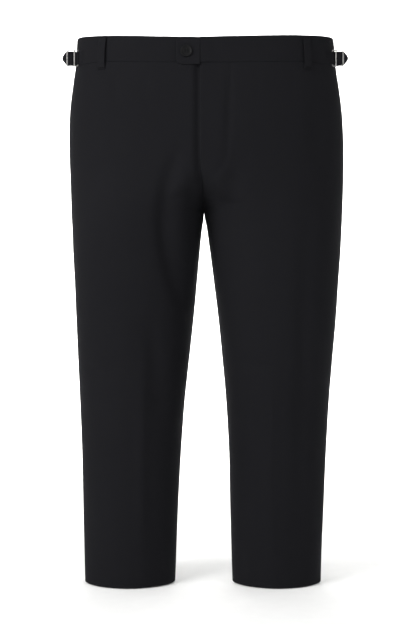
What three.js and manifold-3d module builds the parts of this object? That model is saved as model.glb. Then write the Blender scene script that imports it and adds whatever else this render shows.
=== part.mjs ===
// Dress trousers in black wool, filled out as if worn, with nobody inside.
// Millimetres, +Z up. The front faces -Y, and +X is the wearer's left.
// The origin is the middle of the waist opening, level with its edge at the side seams.
import * as THREE from "three";
import { mergeVertices } from "three/addons/utils/BufferGeometryUtils.js";
import Module from "manifold-3d";

const { lerp, smoothstep, clamp } = THREE.MathUtils;
const FRONT = -1;
const BACK = 1;
const RIGHT = -1;
const LEFT = 1;
const PLACE = { [RIGHT]: "right", [LEFT]: "left" };

// Driving sizes of the cut
const HEM_Z = -971;
const CROTCH = { z: -309, y: 8 };
const CURVE_TOP = { [FRONT]: -246, [BACK]: -196 };
const EDGE_AT_CENTRE = { [FRONT]: -19, [BACK]: 15 };
const EDGE_DIP = { [FRONT]: 26, [BACK]: 0 };
const BAND_HEIGHT = 43;
const BAND_EXTRA_AT_SIDE = 5;
const CLOTH = 1.6;
const HEM_TURN_UP = { height: 40, wall: 2.8 };
const SEAM_GAP = 0.3;
const FLY = { x: -6.8, straightTo: -205, underlap: 7, sunk: 2.4, runOut: 20, step: [1.5, 11] };
const BAND = { outer: 0.8, inner: -1.6, rows: 2, columns: 20 };
const TAB = { end: -47.7, outer: 2.6, inner: 0.4, above: -0.9, below: 4.5, round: 10, sunk: 0.9, step: 8 };
const TAB_GRID = { rows: 4, columns: 9 };
const BUTTON = { x: -29.8, z: -43.6, radius: 10.2, thick: 2.5, hole: 1, holeAt: 2.2 };
const LOOP = { width: 12.5, wall: 1.8, below: 14, atTop: 1.5 };
const EASE_ABOVE_CROTCH = { from: -180, to: -345 };
const MERGE = { slope: 0.2, [FRONT]: 0.026, [BACK]: 0.02 };

// Level sections of the worn shape: the side seams and inseams of both legs along X, how far the
// front and the seat stand out from the side seams, and how square the section is (2 is an ellipse).
const SECTIONS = [
  { z: 20, rightOut: -226, rightIn: 0, leftIn: 0, leftOut: 231, front: 110, back: 109, square: 2.3 },
  { z: 0, rightOut: -227, rightIn: 0, leftIn: 0, leftOut: 231.5, front: 110, back: 110, square: 2.3 },
  { z: -45, rightOut: -230, rightIn: 0, leftIn: 0, leftOut: 235.5, front: 112, back: 114, square: 2.3 },
  { z: -80, rightOut: -235, rightIn: 0, leftIn: 0, leftOut: 240.5, front: 115, back: 121, square: 2.3 },
  { z: -120, rightOut: -240, rightIn: 0, leftIn: 0, leftOut: 246, front: 118, back: 129, square: 2.3 },
  { z: -160, rightOut: -242, rightIn: 0, leftIn: 0, leftOut: 249, front: 120, back: 134, square: 2.3 },
  { z: -200, rightOut: -242, rightIn: 0, leftIn: 0, leftOut: 250.5, front: 120, back: 135, square: 2.3 },
  { z: -250, rightOut: -240, rightIn: 0, leftIn: 0, leftOut: 250, front: 118, back: 130, square: 2.25 },
  { z: -309, rightOut: -238, rightIn: 0, leftIn: 0, leftOut: 248, front: 113, back: 120, square: 2.2 },
  { z: -340, rightOut: -236.5, rightIn: -4, leftIn: 5, leftOut: 246.5, front: 110, back: 115, square: 2.2 },
  { z: -380, rightOut: -235, rightIn: -8, leftIn: 10.5, leftOut: 244.5, front: 105, back: 109, square: 2.2 },
  { z: -430, rightOut: -232.5, rightIn: -12.5, leftIn: 17, leftOut: 241, front: 100, back: 102, square: 2.15 },
  { z: -500, rightOut: -229.5, rightIn: -19, leftIn: 25.5, leftOut: 236.5, front: 93, back: 94, square: 2.1 },
  { z: -570, rightOut: -226.5, rightIn: -26.5, leftIn: 32.5, leftOut: 230.5, front: 87, back: 87, square: 2.05 },
  { z: -650, rightOut: -223, rightIn: -35, leftIn: 39.5, leftOut: 224, front: 80, back: 80, square: 2 },
  { z: -740, rightOut: -219.5, rightIn: -41.5, leftIn: 44.5, leftOut: 219, front: 73, back: 75, square: 1.95 },
  { z: -830, rightOut: -217.5, rightIn: -46.5, leftIn: 46.5, leftOut: 215, front: 67, back: 70, square: 1.9 },
  { z: -920, rightOut: -215.5, rightIn: -50, leftIn: 49, leftOut: 211, front: 63, back: 65, square: 1.85 },
  { z: -980, rightOut: -214, rightIn: -52.5, leftIn: 51, leftOut: 209.5, front: 61, back: 63, square: 1.85 },
];

// How the folds fade out towards their ends, and how finely their bows are searched.
const FOLD_FADE = { atEnd: 0.04, power: 0.7, steps: 20 };

// The largest folds, each along a bow from its start over its middle to its end, in front or back view.
// A depth above 0 is a trough and one below 0 is a ridge, such as the soft pressed creases.
const FOLDS = [
  { face: FRONT, start: [-43, -212], middle: [-82, -345], end: [-33, -500], width: 16, depth: 8.5 },
  { face: FRONT, start: [-30, -235], middle: [-43, -330], end: [-34, -425], width: 13, depth: -3.5 },
  { face: FRONT, start: [-103, -490], middle: [-88, -560], end: [-76, -700], width: 20, depth: 5 },
  { face: FRONT, start: [-98, -470], middle: [-109, -759], end: [-106, -960], width: 11, depth: -3 },
  { face: FRONT, start: [60, -236], middle: [44, -290], end: [38, -360], width: 15, depth: 4 },
  { face: FRONT, start: [178, -290], middle: [172, -600], end: [166, -930], width: 16, depth: 4.5 },
  { face: FRONT, start: [116, -560], middle: [115, -740], end: [120, -960], width: 11, depth: -2.5 },
  { face: FRONT, start: [204, -110], middle: [199, -180], end: [206, -250], width: 20, depth: 3.5 },
  { face: BACK, start: [-30, -318], middle: [-86, -350], end: [-150, -352], width: 16, depth: 6 },
  { face: BACK, start: [32, -325], middle: [94, -362], end: [166, -358], width: 17, depth: 6.5 },
  { face: BACK, start: [-60, -400], middle: [-110, -422], end: [-165, -412], width: 15, depth: 4 },
  { face: BACK, start: [58, -560], middle: [108, -590], end: [168, -584], width: 18, depth: 5 },
  { face: BACK, start: [-66, -620], middle: [-118, -640], end: [-176, -630], width: 17, depth: 4.5 },
  { face: BACK, start: [-128, -470], middle: [-131, -740], end: [-132, -960], width: 11, depth: -3 },
  { face: BACK, start: [134, -470], middle: [132, -740], end: [130, -960], width: 11, depth: -3 },
];

// Where the belt loops are, and how far each stands off the trousers on its way down.
const BELT_LOOPS = [
  { name: "front_right", face: FRONT, x: -177 },
  { name: "front_left", face: FRONT, x: 179 },
  { name: "back_right", face: BACK, x: -122 },
  { name: "back_middle", face: BACK, x: 0 },
  { name: "back_left", face: BACK, x: 122 },
];
const LOOP_PROFILE = [
  { down: 0, lift: 1.2 },
  { down: 0.07, lift: 1.5 },
  { down: 0.2, lift: 3.1 },
  { down: 0.5, lift: 3.6 },
  { down: 0.76, lift: 3 },
  { down: 0.92, lift: 0.9 },
  { down: 1, lift: 0.4 },
];

// The button's section: how far in from its rim each corner is, and its height over the back.
const BUTTON_SECTION = [
  { in: BUTTON.radius, up: 0 },
  { in: 1, up: 0 },
  { in: 0, up: 0.8 },
  { in: 0, up: 1.8 },
  { in: 0.8, up: BUTTON.thick },
  { in: 2, up: BUTTON.thick },
  { in: 3, up: 1.6 },
  { in: BUTTON.radius, up: 1.5 },
];
const BUTTON_SIDES = { rim: 28, hole: 10 };

// The side adjusters stand out past the side of the waist. Distances along X are from that side,
// and the left one is set in a little.
const ADJUSTER = { z: -40.2, y: -43, [RIGHT]: 0, [LEFT]: -1.6 };
const BUCKLE = { from: -8, to: 13.1, height: 30.4, thick: 1.6, rail: 2.1, corner: 3.4 };
const BUCKLE_SLOTS = [{ from: -6, to: -2.1 }, { from: 0.3, to: 10.7 }];
const STRAP = { height: 25, wall: 1.6, point: 8, blunt: 1.4, root: -6 };
const STRAP_PATH = [
  { out: -1.5, y: -39 },
  { out: 4, y: -40.9 },
  { out: 13, y: -41.1 },
  { out: 21, y: -40.6 },
];
const ANCHOR = { height: 23, wall: 1, on: [-19, -14.5, -11.5], bar: -7, round: 2.2, deep: 2 };
const ANCHOR_ARC = { from: -120, to: 80, steps: 7 };

// The panels' grids: rows down the rise, round the crotch curve and down the leg, and columns across.
const ROWS = { rise: 6, curve: 6, leg: 21 };
const COLUMNS = 11;
const SAMPLES = 80;
const SIDE_AT_CURVE = { top: -232, bottom: -345 };

const CLOTH_FINISH = { color: 0x1d1d20, roughness: 0.9, metalness: 0 };
const METAL_FINISH = { color: 0xc9cacc, roughness: 0.25, metalness: 1 };
const BUTTON_FINISH = { color: 0x19191b, roughness: 0.45, metalness: 0 };

// A smooth curve through one column of the sections.
function worn(column, z) {
  let i = 0;
  while (i < SECTIONS.length - 2 && z < SECTIONS[i + 1].z) i += 1;
  const upper = SECTIONS[i];
  const lower = SECTIONS[i + 1];
  const above = SECTIONS[Math.max(i - 1, 0)];
  const below = SECTIONS[Math.min(i + 2, SECTIONS.length - 1)];
  const slope = (a, b) => (b[column] - a[column]) / (b.z - a.z);
  const span = lower.z - upper.z;
  const t = clamp((z - upper.z) / span, 0, 1);
  const risen = t * t * (3 - 2 * t);
  const leaving = t * (1 - t) * (1 - t) * span * slope(above, lower);
  const arriving = t * t * (t - 1) * span * slope(upper, below);
  return lerp(upper[column], lower[column], risen) + leaving + arriving;
}

// Where the centre seam runs along X: the fly edge in front, easing to the middle at the crotch.
function centreSeam(face, z) {
  if (face === BACK) return 0;
  return FLY.x * smoothstep(z, CROTCH.z, FLY.straightTo);
}

// The level section of one half at a height, for its front or its back. Above the crotch the leg's
// ring widens past the centre seam, which cuts it off, so that the two legs run together.
function section(half, face, z) {
  const above = z > CROTCH.z;
  const side = worn(half === RIGHT ? "rightOut" : "leftOut", z);
  const seam = above ? centreSeam(face, z) : worn(half === RIGHT ? "rightIn" : "leftIn", z);
  const shift = 1 - smoothstep(z, EASE_ABOVE_CROTCH.to, EASE_ABOVE_CROTCH.from);
  const middle = lerp(seam, (seam + side) / 2, shift);
  const rise = z - CROTCH.z;
  const inner = above ? seam - half * rise * (MERGE.slope + MERGE[face] * rise) : seam;
  const power = 2 / worn("square", z);
  return {
    side,
    inner,
    middle,
    stand: face * worn(face === FRONT ? "front" : "back", z),
    depth: CROTCH.y * smoothstep(z, HEM_Z, CROTCH.z),
    power,
    start: Math.acos(((middle - seam) / (middle - inner)) ** (1 / power)),
  };
}

// A point of the skin: turn is 0 at the centre seam or inseam, 0.5 where the cloth stands out most
// and 1 at the side seam.
function skin(half, face, z, turn) {
  const cut = section(half, face, z);
  if (turn < 0.5) {
    const angle = lerp(cut.start, Math.PI / 2, turn * 2);
    const across = Math.cos(angle) ** cut.power;
    const out = Math.sin(angle) ** cut.power;
    return new THREE.Vector3(lerp(cut.middle, cut.inner, across), lerp(cut.depth, cut.stand, out), z);
  }
  const across = Math.max(-Math.cos(turn * Math.PI), 0) ** cut.power;
  const out = Math.max(Math.sin(turn * Math.PI), 0) ** cut.power;
  return new THREE.Vector3(lerp(cut.middle, cut.side, across), cut.stand * out, z);
}

// How far round from the side (0) to the centre (1) a turn is, for the curves of the waist.
function towardsCentre(turn) {
  return turn < 0.5 ? 1 : Math.max(Math.sin(turn * Math.PI), 0) ** (2 / SECTIONS[1].square);
}

// The edge falls to the centre front, with a dip just inside the side seam, and rises to the centre back.
function topEdge(face, turn) {
  const near = towardsCentre(turn);
  return EDGE_AT_CENTRE[face] * near ** 2 - EDGE_DIP[face] * (near * (1 - near)) ** 2;
}

function bandBottom(face, turn) {
  const atSide = (1 - towardsCentre(turn) ** 2) ** 2;
  return topEdge(face, turn) - BAND_HEIGHT - BAND_EXTRA_AT_SIDE * atSide;
}

// The height of a panel's grid row at a turn: 0 is the waist seam, 1 and 2 are the ends of the
// crotch curve and 3 is the hem.
function rowHeight(face, row, turn) {
  const outward = smoothstep(turn, lerp(0.5, 0, clamp(row - 1, 0, 1)), 1);
  const curveTop = lerp(CURVE_TOP[face], SIDE_AT_CURVE.top, outward);
  const curveEnd = lerp(CROTCH.z, SIDE_AT_CURVE.bottom, outward);
  if (row <= 1) return lerp(bandBottom(face, turn) - SEAM_GAP, curveTop, row);
  if (row >= 2) return lerp(curveEnd, HEM_Z, row - 2);
  const drop = Math.sin((row - 1) * Math.PI / 2);
  const onSeam = lerp(CURVE_TOP[face], CROTCH.z, drop);
  return lerp(onSeam, lerp(SIDE_AT_CURVE.top, SIDE_AT_CURVE.bottom, row - 1), outward);
}

// Points along a line at given distances from its start.
function stations(line, distances) {
  const reached = [0];
  line.forEach((p, i) => {
    if (i) reached.push(reached[i - 1] + p.distanceTo(line[i - 1]));
  });
  const length = reached[reached.length - 1];
  let i = 1;
  return distances(length).map((wanted) => {
    while (i < line.length - 1 && reached[i] < wanted) i += 1;
    const t = (wanted - reached[i - 1]) / Math.max(reached[i] - reached[i - 1], 1e-9);
    return line[i - 1].clone().lerp(line[i], clamp(t, 0, 1));
  });
}

// Evenly spaced distances from half a seam gap inside both ends of a length, after some set ones.
function evenly(length, count, set = []) {
  const begin = set.length ? set[set.length - 1] : SEAM_GAP / 2;
  const left = count - Math.max(set.length - 1, 0);
  const rest = Array.from({ length: left + 1 }, (_, k) => lerp(begin, length - SEAM_GAP / 2, k / left));
  return [...set.slice(0, -1), ...rest];
}

// The level direction out of the cloth at each point of a row that runs round one half. It is
// straight to the side at a side seam and straight inward at an inseam, so that the walls of two
// panels meet edge to edge there.
function outwards(points, half, face) {
  const last = points.length - 1;
  return points.map((p, i) => {
    if (i === last) return new THREE.Vector3(half, 0, 0);
    const along = points[i + 1].clone().sub(points[Math.max(i - 1, 0)]).setZ(0).normalize();
    const out = new THREE.Vector3(along.y, -along.x, 0).multiplyScalar(-face * half);
    if (i > 0) return out;
    const below = 1 - smoothstep(p.z, CROTCH.z, CROTCH.z + 2 * FLY.runOut);
    return out.lerp(new THREE.Vector3(-half, 0, 0), below).normalize();
  });
}

// How far the folds of one face press a point in.
function foldDepth(face, p) {
  return FOLDS.filter((fold) => fold.face === face).reduce((sum, fold) => {
    const ends = [new THREE.Vector2(...fold.start), new THREE.Vector2(...fold.end)];
    const middle = new THREE.Vector2(...fold.middle);
    const control = middle.multiplyScalar(2).sub(ends[0].clone().add(ends[1]).multiplyScalar(0.5));
    const bow = new THREE.QuadraticBezierCurve(ends[0], control, ends[1]);
    const here = new THREE.Vector2(p.x, p.z);
    let best = { away: Infinity, share: 0 };
    bow.getPoints(FOLD_FADE.steps).forEach((q, i) => {
      const away = q.distanceTo(here);
      if (away < best.away) best = { away, share: i / FOLD_FADE.steps };
    });
    const fade = Math.sin(Math.PI * clamp(best.share, FOLD_FADE.atEnd, 1 - FOLD_FADE.atEnd));
    return sum + fold.depth * fade ** FOLD_FADE.power * Math.exp(-((best.away / fold.width) ** 2));
  }, 0);
}

// A closed wall from rows of points, each with an outer and an inner place.
function wall(rows) {
  const last = rows[0].length - 1;
  const corner = (i, j, inside) => (i * (last + 1) + j) * 2 + inside;
  const faces = [];
  const quad = (a, b, c, d) => faces.push(a, b, c, a, c, d);
  for (let i = 0; i < rows.length - 1; i += 1) {
    for (let j = 0; j < last; j += 1) {
      quad(corner(i, j, 0), corner(i + 1, j, 0), corner(i + 1, j + 1, 0), corner(i, j + 1, 0));
      quad(corner(i, j, 1), corner(i, j + 1, 1), corner(i + 1, j + 1, 1), corner(i + 1, j, 1));
    }
    quad(corner(i, 0, 0), corner(i, 0, 1), corner(i + 1, 0, 1), corner(i + 1, 0, 0));
    quad(corner(i, last, 0), corner(i + 1, last, 0), corner(i + 1, last, 1), corner(i, last, 1));
  }
  const end = rows.length - 1;
  for (let j = 0; j < last; j += 1) {
    quad(corner(0, j, 0), corner(0, j + 1, 0), corner(0, j + 1, 1), corner(0, j, 1));
    quad(corner(end, j, 0), corner(end, j, 1), corner(end, j + 1, 1), corner(end, j + 1, 0));
  }
  const points = rows.flat().flatMap(({ outer, inner }) => [outer, inner]);
  let volume = 0;
  for (let k = 0; k < faces.length; k += 3) {
    const [a, b, c] = [0, 1, 2].map((n) => points[faces[k + n]]);
    volume += a.dot(b.clone().cross(c));
  }
  if (volume < 0) faces.reverse();
  const geometry = new THREE.BufferGeometry().setFromPoints(points);
  geometry.setIndex(faces);
  return geometry;
}

const trousers = new THREE.Group();

function sew(name, geometry, finish) {
  geometry.computeVertexNormals();
  const mesh = new THREE.Mesh(geometry, new THREE.MeshStandardMaterial(finish));
  mesh.name = name;
  trousers.add(mesh);
  return mesh;
}

// One row of a leg panel from its centre seam or inseam to its side seam.
function panelRow(half, face, row) {
  const line = [];
  for (let k = 0; k <= SAMPLES; k += 1) {
    const turn = k / SAMPLES;
    line.push(skin(half, face, rowHeight(face, row, turn), turn));
  }
  const first = line[0];
  const lapped = half === RIGHT && face === FRONT;
  const opened = CURVE_TOP[FRONT] + FLY.runOut;
  const lap = lapped ? FLY.underlap * smoothstep(first.z, opened, opened + FLY.runOut) : 0;
  if (lap > 0) line.unshift(first.clone().setX(first.x + lap));
  const beyond = FLY.step.map((far) => lap + far);
  const set = lapped ? [SEAM_GAP / 2, ...beyond] : [];
  const points = stations(line, (length) => evenly(length, COLUMNS, set));
  const out = outwards(points, half, face);
  const turnUp = smoothstep(HEM_Z + HEM_TURN_UP.height - points[0].z, 0, HEM_TURN_UP.height / 2);
  const thick = lerp(CLOTH, HEM_TURN_UP.wall, turnUp);
  return points.map((p, j) => {
    const inside = clamp(Math.min(j, COLUMNS - j) / 2, 0, 1);
    const beside = smoothstep(first.x - p.x, ...FLY.step);
    const under = lapped ? FLY.sunk * (1 - beside) * smoothstep(p.z, CROTCH.z, CURVE_TOP[FRONT]) : 0;
    const pressed = foldDepth(face, p) * inside + under;
    const outer = p.clone().addScaledVector(out[j], -pressed);
    return { outer, inner: outer.clone().addScaledVector(out[j], -thick) };
  });
}

function panel(half, face) {
  const rows = [];
  for (let i = 0; i < ROWS.rise; i += 1) rows.push(i / ROWS.rise);
  for (let i = 0; i < ROWS.curve; i += 1) rows.push(1 + i / ROWS.curve);
  for (let i = 0; i <= ROWS.leg; i += 1) rows.push(2 + i / ROWS.leg);
  return wall(rows.map((row) => panelRow(half, face, row)));
}

// A place on the skin of the upper part from the front or the back, with the way out of the cloth.
function onBody(face, x, z) {
  const half = x < centreSeam(face, z) ? RIGHT : LEFT;
  const cut = section(half, face, z);
  const share = clamp((x - cut.middle) / (cut.side - cut.middle), 0, 1);
  const turn = Math.acos(-(share ** (1 / cut.power))) / Math.PI;
  const step = 0.004;
  const before = skin(half, face, z, Math.max(turn - step, 0.5));
  const along = skin(half, face, z, Math.min(turn + step, 1)).sub(before);
  const out = new THREE.Vector3(along.y, -along.x, 0).multiplyScalar(-face * half).normalize();
  return { point: skin(half, face, z, turn), out, turn };
}

// A strip that lies on the body: its two faces at given distances out of the skin.
function layer({ point, out }, outer, inner) {
  return {
    outer: point.clone().addScaledVector(out, outer),
    inner: point.clone().addScaledVector(out, inner),
  };
}

// One half of the waistband, in one length from the centre front round the side to the centre back.
function waistband(half) {
  const rows = [];
  for (let i = 0; i <= BAND.rows; i += 1) {
    const height = (face, turn) => lerp(topEdge(face, turn), bandBottom(face, turn), i / BAND.rows);
    const line = [];
    for (let k = 0; k <= SAMPLES; k += 1) {
      const turn = lerp(0.5, 1, k / SAMPLES);
      line.push(skin(half, FRONT, height(FRONT, turn), turn));
    }
    for (let k = SAMPLES - 1; k >= 0; k -= 1) {
      const turn = lerp(0.5, 1, k / SAMPLES);
      line.push(skin(half, BACK, height(BACK, turn), turn));
    }
    const tabbed = half === RIGHT;
    const tabLength = FLY.x - TAB.end;
    const set = tabbed ? [SEAM_GAP / 2, tabLength / 2, tabLength, tabLength + TAB.step] : [];
    const points = stations(line, (length) => evenly(length, BAND.columns, set));
    rows.push(points.map((p, j) => {
      const before = points[Math.max(j - 1, 0)];
      const along = points[Math.min(j + 1, points.length - 1)].clone().sub(before);
      const out = new THREE.Vector3(along.y, -along.x, 0).multiplyScalar(half).normalize();
      if (j === 0) out.set(0, FRONT, 0);
      if (j === points.length - 1) out.set(0, BACK, 0);
      const under = tabbed && p.y < 0 ? TAB.sunk * smoothstep(p.x, TAB.end - TAB.step, TAB.end) : 0;
      return layer({ point: p, out }, BAND.outer - under, BAND.inner - under);
    }));
  }
  return wall(rows);
}

// The end of the left waistband that laps over the right one, with a rounded end.
function waistTab() {
  const { rows, columns } = TAB_GRID;
  const start = FLY.x - SEAM_GAP / 2 - SEAM_GAP;
  return wall(Array.from({ length: rows + 1 }, (_, i) => (
    Array.from({ length: columns + 1 }, (__, j) => {
      const x = lerp(start, TAB.end, Math.sin(j / columns * Math.PI / 2));
      const fromEnd = Math.min(x - TAB.end, TAB.round);
      const inset = TAB.round - Math.sqrt(TAB.round ** 2 - (TAB.round - fromEnd) ** 2);
      const { turn } = onBody(FRONT, x, BUTTON.z);
      const top = topEdge(FRONT, turn) + TAB.above - inset;
      const bottom = bandBottom(FRONT, turn) - TAB.below + inset;
      return layer(onBody(FRONT, x, lerp(top, bottom, i / rows)), TAB.outer, TAB.inner);
    })
  )));
}

function beltLoop({ face, x }) {
  const { turn } = onBody(face, x, -BAND_HEIGHT / 2);
  const top = topEdge(face, turn) - LOOP.atTop;
  const bottom = bandBottom(face, turn) - LOOP.below;
  return wall(LOOP_PROFILE.map(({ down, lift }) => (
    [-0.5, 0, 0.5].map((share) => {
      const place = onBody(face, x + share * LOOP.width, lerp(top, bottom, down));
      return layer(place, lift + LOOP.wall, lift);
    })
  )));
}

const wasm = await Module();
wasm.setup();

function solid(geometry) {
  const bare = geometry.clone();
  bare.deleteAttribute("normal");
  bare.deleteAttribute("uv");
  const merged = mergeVertices(bare);
  const vertProperties = merged.getAttribute("position").array;
  const triVerts = new Uint32Array(merged.getIndex().array);
  return new wasm.Manifold(new wasm.Mesh({ numProp: 3, vertProperties, triVerts }));
}

function fromSolid(made) {
  const { vertProperties, triVerts } = made.getMesh();
  const geometry = new THREE.BufferGeometry();
  geometry.setAttribute("position", new THREE.BufferAttribute(vertProperties, 3));
  geometry.setIndex(new THREE.BufferAttribute(triVerts, 1));
  return geometry;
}

// A flat button with a raised rim and four holes, its axis along Y and its back at 0.
function fourHoleButton() {
  const profile = BUTTON_SECTION.map((corner) => new THREE.Vector2(BUTTON.radius - corner.in, corner.up));
  let made = solid(new THREE.LatheGeometry(profile, BUTTON_SIDES.rim));
  const length = 3 * BUTTON.thick;
  for (const x of [-BUTTON.holeAt, BUTTON.holeAt]) {
    for (const z of [-BUTTON.holeAt, BUTTON.holeAt]) {
      const drill = new THREE.CylinderGeometry(BUTTON.hole, BUTTON.hole, length, BUTTON_SIDES.hole);
      made = made.subtract(solid(drill.translate(x, 0, z)));
    }
  }
  return fromSolid(made);
}

function roundedBox(shape, x0, x1, halfHeight, radius) {
  shape.moveTo(x0 + radius, -halfHeight);
  shape.lineTo(x1 - radius, -halfHeight);
  shape.absarc(x1 - radius, radius - halfHeight, radius, -Math.PI / 2, 0);
  shape.absarc(x1 - radius, halfHeight - radius, radius, 0, Math.PI / 2);
  shape.absarc(x0 + radius, halfHeight - radius, radius, Math.PI / 2, Math.PI);
  shape.absarc(x0 + radius, radius - halfHeight, radius, Math.PI, Math.PI * 1.5);
  return shape;
}

// A flat metal slide with a bar across its middle, as a plate with two slots.
function slideBuckle() {
  const plate = roundedBox(new THREE.Shape(), BUCKLE.from, BUCKLE.to, BUCKLE.height / 2, BUCKLE.corner);
  for (const { from, to } of BUCKLE_SLOTS) {
    plate.holes.push(roundedBox(new THREE.Path(), from, to, BUCKLE.height / 2 - BUCKLE.rail, 1));
  }
  const cut = { depth: BUCKLE.thick, bevelEnabled: false, curveSegments: 4 };
  const made = new THREE.ExtrudeGeometry(plate, cut);
  return made.translate(0, 0, -BUCKLE.thick / 2).rotateX(Math.PI / 2);
}

// A strip that stands on edge along a level path, its faces half its thickness to each side.
function standing(path, thick, heights) {
  return wall(heights.map((level) => {
    const points = path(level);
    return points.map((p, j) => {
      const before = points[Math.max(j - 1, 0)];
      const along = points[Math.min(j + 1, points.length - 1)].clone().sub(before).setZ(0).normalize();
      return layer({ point: p, out: new THREE.Vector3(along.y, -along.x, 0) }, thick / 2, -thick / 2);
    });
  }));
}

function waistSide(half) {
  return worn(half === RIGHT ? "rightOut" : "leftOut", ADJUSTER.z) + ADJUSTER[half];
}

// The pointed strap of a side adjuster, from the waistband out behind the bars of its buckle.
function adjusterStrap(half) {
  const side = waistSide(half);
  const tip = STRAP_PATH[STRAP_PATH.length - 1].out;
  return standing((level) => {
    const root = onBody(FRONT, side + half * STRAP.root, ADJUSTER.z + level * STRAP.height / 2);
    const begin = layer(root, BAND.outer + STRAP.wall / 2 + SEAM_GAP, 0).outer;
    const rest = STRAP_PATH.map(({ out, y }) => new THREE.Vector3(side + half * out, y, 0));
    return [begin, ...rest].map((p) => {
      const left = tip - half * (p.x - side);
      const reach = lerp(STRAP.blunt, STRAP.height / 2, clamp(left / STRAP.point, 0, 1));
      return p.setZ(ADJUSTER.z + level * reach);
    });
  }, STRAP.wall, [-1, -0.5, 0, 0.5, 1]);
}

// The short loop of cloth that lies on the waistband and goes round the inner bar of the buckle.
function adjusterAnchor(half) {
  const side = waistSide(half);
  return standing((level) => {
    const z = ADJUSTER.z + level * ANCHOR.height / 2;
    const lying = ANCHOR.on.map((out) => (
      layer(onBody(FRONT, side + half * out, z), BAND.outer + ANCHOR.wall / 2 + SEAM_GAP, 0).outer
    ));
    const { from, to, steps } = ANCHOR_ARC;
    const round = Array.from({ length: steps + 1 }, (_, k) => {
      const angle = lerp(from, to, k / steps) * Math.PI / 180;
      const out = ANCHOR.bar + ANCHOR.round * Math.cos(angle);
      return new THREE.Vector3(side + half * out, ADJUSTER.y + ANCHOR.deep * Math.sin(angle), z);
    });
    return [...lying, ...round];
  }, ANCHOR.wall, [-1, 0, 1]);
}

for (const half of [RIGHT, LEFT]) {
  sew("front_" + PLACE[half], panel(half, FRONT), CLOTH_FINISH);
  sew("back_" + PLACE[half], panel(half, BACK), CLOTH_FINISH);
  sew("waistband_" + PLACE[half], waistband(half), CLOTH_FINISH);
  sew("adjuster_strap_" + PLACE[half], adjusterStrap(half), CLOTH_FINISH);
  sew("adjuster_anchor_" + PLACE[half], adjusterAnchor(half), CLOTH_FINISH);
  const buckle = sew("adjuster_buckle_" + PLACE[half], slideBuckle(), METAL_FINISH);
  buckle.position.set(waistSide(half), ADJUSTER.y, ADJUSTER.z);
  if (half === RIGHT) buckle.rotation.z = Math.PI;
}
sew("waistband_tab", waistTab(), CLOTH_FINISH);
for (const place of BELT_LOOPS) sew("belt_loop_" + place.name, beltLoop(place), CLOTH_FINISH);

const button = sew("waist_button", fourHoleButton(), BUTTON_FINISH);
const [buttonTop, buttonBottom] = [BUTTON.radius, -BUTTON.radius].map((rise) => (
  layer(onBody(FRONT, BUTTON.x, BUTTON.z + rise), TAB.outer + SEAM_GAP, 0).outer
));
const upTheTab = buttonTop.clone().sub(buttonBottom).normalize();
const acrossTheTab = new THREE.Vector3(-1, 0, 0);
const offTheTab = acrossTheTab.clone().cross(upTheTab).normalize().negate();
button.position.copy(buttonTop.add(buttonBottom).multiplyScalar(0.5)).addScaledVector(offTheTab, SEAM_GAP);
button.quaternion.setFromUnitVectors(new THREE.Vector3(0, 1, 0), offTheTab);

export default trousers;
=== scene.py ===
import math

import bmesh
import bpy
from mathutils import Matrix, Vector, noise


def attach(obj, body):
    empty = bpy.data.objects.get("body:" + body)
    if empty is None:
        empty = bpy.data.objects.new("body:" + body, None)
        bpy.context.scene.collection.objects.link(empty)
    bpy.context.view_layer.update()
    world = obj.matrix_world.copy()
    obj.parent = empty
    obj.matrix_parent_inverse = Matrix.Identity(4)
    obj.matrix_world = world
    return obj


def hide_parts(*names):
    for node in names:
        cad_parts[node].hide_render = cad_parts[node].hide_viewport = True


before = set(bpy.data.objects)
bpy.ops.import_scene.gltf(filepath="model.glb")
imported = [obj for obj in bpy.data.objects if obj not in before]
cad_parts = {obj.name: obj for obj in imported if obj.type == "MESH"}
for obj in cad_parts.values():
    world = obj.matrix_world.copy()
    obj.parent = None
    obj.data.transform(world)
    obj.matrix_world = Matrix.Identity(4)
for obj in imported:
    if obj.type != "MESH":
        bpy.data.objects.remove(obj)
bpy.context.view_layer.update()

# Dress trousers in black worsted wool, filled out as if worn, with nobody inside.
# The cut is worked out in millimetres, and points are turned to metres where a mesh is made.

# The camera stands two metres in front, level with mid thigh, and looks straight back.
camera = bpy.data.objects.new("camera", bpy.data.cameras.new("camera"))
camera.data.lens = 67.31
camera.data.clip_end = 30
camera.location = (0.00684, -2.1, -0.4878)
camera.rotation_euler = (math.pi / 2, 0, 0)
bpy.context.scene.collection.objects.link(camera)
bpy.context.scene.camera = camera


# The front panels: each is one piece of worsted wool, cut on the straight grain, pressed with a soft
# crease and sewn to the back at the side seam and the inseam. The left front laps over the right one
# at the fly, and both end in a turned-up hem.
MM = 0.001
RIGHT, LEFT = -1, 1
FRONT, BACK = -1, 1
SIDE_NAME = {RIGHT: "right", LEFT: "left"}

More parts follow.
